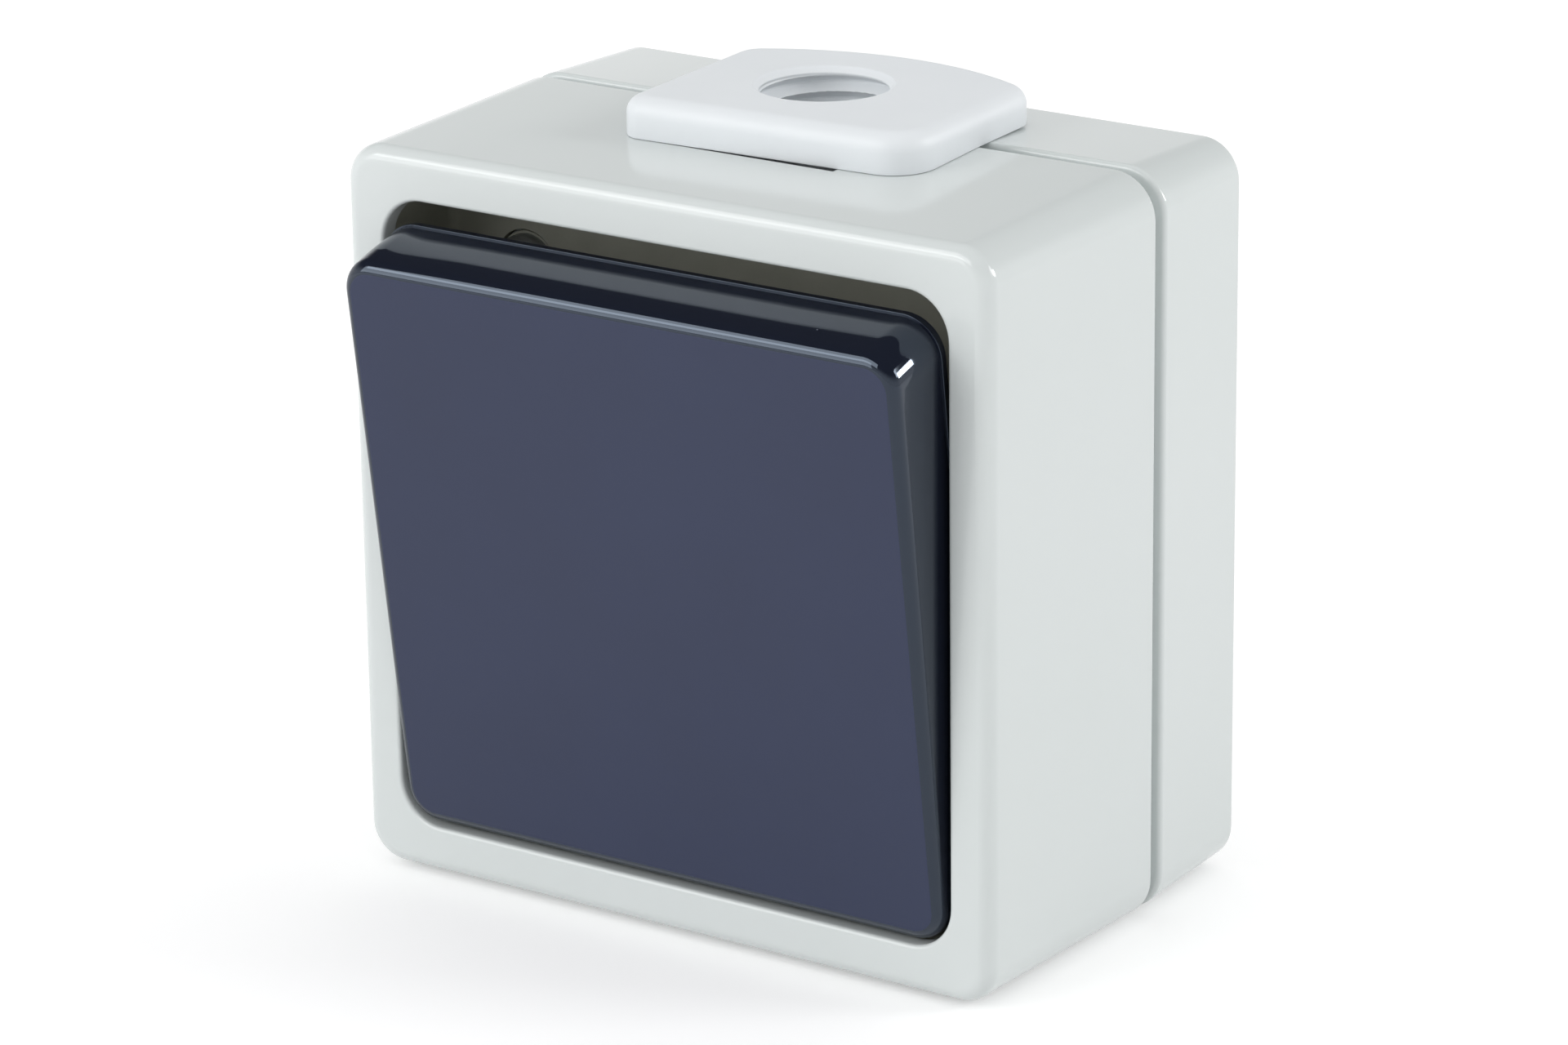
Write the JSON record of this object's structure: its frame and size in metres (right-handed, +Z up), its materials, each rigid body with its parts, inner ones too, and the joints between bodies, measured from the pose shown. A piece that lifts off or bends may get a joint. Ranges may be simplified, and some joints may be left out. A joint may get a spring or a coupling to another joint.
{
  "type": "outdoor weatherproof switch",
  "caption": "Surface-mounted square weatherproof switch with a tilting rocker, a two-part housing and a cable entry plate on top.",
  "frame": {"origin": "centre of the face that lies on the wall", "axes": "+X to the right seen from the front, +Y towards the wall, +Z up"},
  "size_m": [0.066, 0.0466, 0.0698],
  "materials": {
    "housing_grey": "glossy moulded light grey",
    "entry_white": "satin moulded white",
    "rocker_slate": "satin face with glossy skirt",
    "seal_rubber": "dull dark rubber",
    "gasket_rubber": "dull grey rubber",
    "base_black": "matt moulded",
    "actuator_white": "waxy moulded white",
    "plated_steel": "zinc plated",
    "spring_steel": "drawn wire",
    "contact_brass": "stamped sheet",
    "contact_silver": "bright rivet"
  },
  "bodies": {
    "housing": {"rear_box": "housing_grey", "front_cover": "housing_grey", "well_seal": "seal_rubber", "box_gasket": "gasket_rubber", "cable_entry_plate": "entry_white", "bearing_frame": "plated_steel", "switch_base": "base_black", "common_terminal": "contact_brass", "upper_fixed_contact": "contact_brass", "lower_fixed_contact": "contact_brass", "fixed_contact_rivets": "contact_silver", "terminal_clamps": "plated_steel", "terminal_screws": "plated_steel", "mechanism_screws": "plated_steel", "cover_screw_seals": "seal_rubber", "cover_screws": "plated_steel", "earth_terminal": "contact_brass", "earth_screw": "plated_steel"},
    "rocker": {"rocker_cap": "rocker_slate", "actuator": "actuator_white", "plunger_spring": "spring_steel"},
    "plunger": {"plunger": "actuator_white"},
    "contact": {"contact_lever": "contact_brass", "lever_contacts": "contact_silver"}
  },
  "joints": [
    {"name": "rocker_tilt", "type": "hinge", "parent": "housing", "child": "rocker", "pos_m": [0, -0.0308, 0], "axis": [1, 0, 0], "range_deg": [-15.2, 0]},
    {"name": "contact_tilt", "type": "hinge", "parent": "housing", "child": "contact", "pos_m": [0, -0.0162, 0], "axis": [1, 0, 0], "range_deg": [0, 9.12]},
    {"name": "plunger_slide", "type": "slide", "parent": "rocker", "child": "plunger", "axis": [0, -0.9912, -0.1323], "range_m": [0, 0.0012], "stiffness_N_per_m": 60, "springref_m": -0.002, "deforming": ["plunger_spring"]}
  ],
  "couplings": [
    {"joint": "contact_tilt", "follows": "rocker_tilt", "ratio": -0.6}
  ]
}
